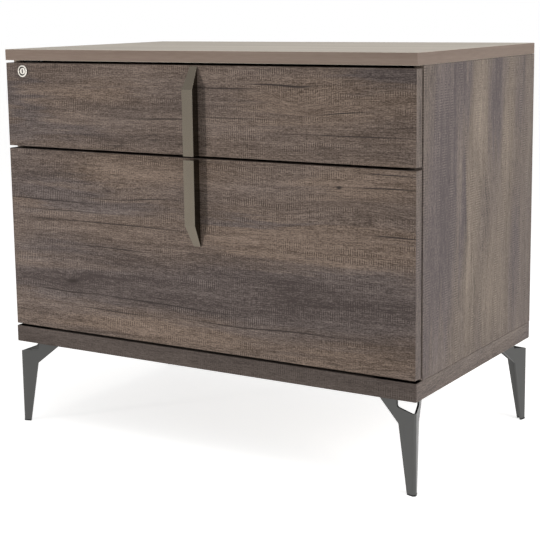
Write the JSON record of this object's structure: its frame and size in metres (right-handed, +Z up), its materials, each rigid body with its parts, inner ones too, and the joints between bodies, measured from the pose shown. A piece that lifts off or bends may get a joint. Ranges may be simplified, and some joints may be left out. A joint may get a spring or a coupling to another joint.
{
  "type": "filing cabinet",
  "caption": "Lateral filing cabinet with stacked drawers on telescopic runners, split bar handle, turning cam lock, board carcass on a mitred base frame and folded sheet-metal legs.",
  "frame": {"origin": "on the floor, under the middle of the space that the cabinet and its handles take up", "axes": "+X to the right along the drawer fronts, -Y out of the drawer fronts, +Z up"},
  "size_m": [0.84, 0.507, 0.71],
  "materials": {
    "oak_horizontal": "weathered oak foil, grain running across",
    "oak_vertical": "weathered oak foil, grain running up",
    "top_laminate": "matt greige laminate",
    "inner_board": "melamine-faced board",
    "leg_gunmetal": "satin gunmetal powder coat",
    "handle_bronze": "satin bronze-grey anodising",
    "lock_nickel": "satin nickel plate",
    "zinc_steel": "zinc-plated steel",
    "rubber": "matt black rubber"
  },
  "bodies": {
    "cabinet": {"base_front_rail": "oak_horizontal", "base_rear_rail": "oak_horizontal", "base_left_rail": "oak_horizontal", "base_right_rail": "oak_horizontal", "left_side_panel": "oak_vertical", "right_side_panel": "oak_vertical", "top_panel": "top_laminate", "back_panel": "inner_board", "bottom_panel": "inner_board", "upper_left_outer_rail": "zinc_steel", "buffer_upper_left": "rubber", "upper_right_outer_rail": "zinc_steel", "buffer_upper_right": "rubber", "lower_left_outer_rail": "zinc_steel", "buffer_lower_left": "rubber", "lower_right_outer_rail": "zinc_steel", "buffer_lower_right": "rubber", "lock_strike": "zinc_steel", "strike_screw_left": "zinc_steel", "strike_screw_right": "zinc_steel", "leg_front_left": "leg_gunmetal", "foot_pad_front_left": "rubber", "leg_front_right": "leg_gunmetal", "foot_pad_front_right": "rubber", "leg_rear_left": "leg_gunmetal", "foot_pad_rear_left": "rubber", "leg_rear_right": "leg_gunmetal", "foot_pad_rear_right": "rubber"},
    "upper_drawer": {"upper_front": "oak_horizontal", "upper_box_left": "inner_board", "upper_box_right": "inner_board", "upper_box_back": "inner_board", "upper_box_bottom": "inner_board", "upper_left_inner_rail": "zinc_steel", "upper_right_inner_rail": "zinc_steel", "upper_handle": "handle_bronze", "upper_handle_screw_top": "zinc_steel", "upper_handle_screw_bottom": "zinc_steel", "lock_barrel": "lock_nickel", "lock_nut": "lock_nickel"},
    "upper_runner_middles": {"upper_left_middle_rail": "zinc_steel", "upper_right_middle_rail": "zinc_steel"},
    "lower_drawer": {"lower_front": "oak_horizontal", "lower_box_left": "inner_board", "lower_box_right": "inner_board", "lower_box_back": "inner_board", "lower_box_bottom": "inner_board", "lower_left_inner_rail": "zinc_steel", "lower_right_inner_rail": "zinc_steel", "lower_handle": "handle_bronze", "lower_handle_screw_top": "zinc_steel", "lower_handle_screw_bottom": "zinc_steel", "front_file_rail": "zinc_steel", "rear_file_rail": "zinc_steel"},
    "lower_runner_middles": {"lower_left_middle_rail": "zinc_steel", "lower_right_middle_rail": "zinc_steel"},
    "lock_plug": {"lock_plug": "lock_nickel", "lock_cam": "zinc_steel", "lock_cam_screw": "zinc_steel"}
  },
  "joints": [
    {"name": "upper_drawer_slide", "type": "slide", "parent": "cabinet", "child": "upper_drawer", "axis": [0, -1, 0], "range_m": [0, 0.39]},
    {"name": "upper_runner_slide", "type": "slide", "parent": "cabinet", "child": "upper_runner_middles", "axis": [0, -1, 0], "range_m": [0, 0.195]},
    {"name": "lower_drawer_slide", "type": "slide", "parent": "cabinet", "child": "lower_drawer", "axis": [0, -1, 0], "range_m": [0, 0.39]},
    {"name": "lower_runner_slide", "type": "slide", "parent": "cabinet", "child": "lower_runner_middles", "axis": [0, -1, 0], "range_m": [0, 0.195]},
    {"name": "lock_turn", "type": "hinge", "parent": "upper_drawer", "child": "lock_plug", "pos_m": [-0.378, -0.2365, 0.6705], "axis": [0, 1, 0], "range_deg": [0, 90]}
  ],
  "couplings": [
    {"joint": "upper_runner_slide", "follows": "upper_drawer_slide", "ratio": 0.5},
    {"joint": "lower_runner_slide", "follows": "lower_drawer_slide", "ratio": 0.5}
  ]
}
